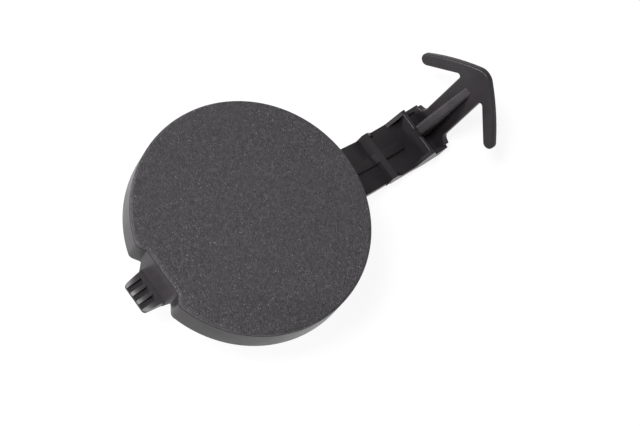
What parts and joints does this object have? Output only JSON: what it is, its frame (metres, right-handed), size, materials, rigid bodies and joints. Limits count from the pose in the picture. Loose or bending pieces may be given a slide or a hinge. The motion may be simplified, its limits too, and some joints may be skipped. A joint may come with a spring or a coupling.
{
  "type": "plastic cover plug",
  "caption": "Round moulded plastic cover plug with a grained face, a smooth skirt, a ribbed snap lug and a J-shaped retaining arm ending in an arrow-shaped anchor.",
  "frame": {"origin": "on the cap's axis, in the plane of the skirt's lower edge, on which the plug seats", "axes": "+Z out of the outer face, +X from the snap lug to the anchor"},
  "size_m": [0.1127, 0.06, 0.0345],
  "materials": {
    "moulding": "fine leather grain on the outer face, satin smooth on the skirt and the arm"
  },
  "bodies": {
    "root": {"hole_plug": "moulding"}
  },
  "joints": []
}
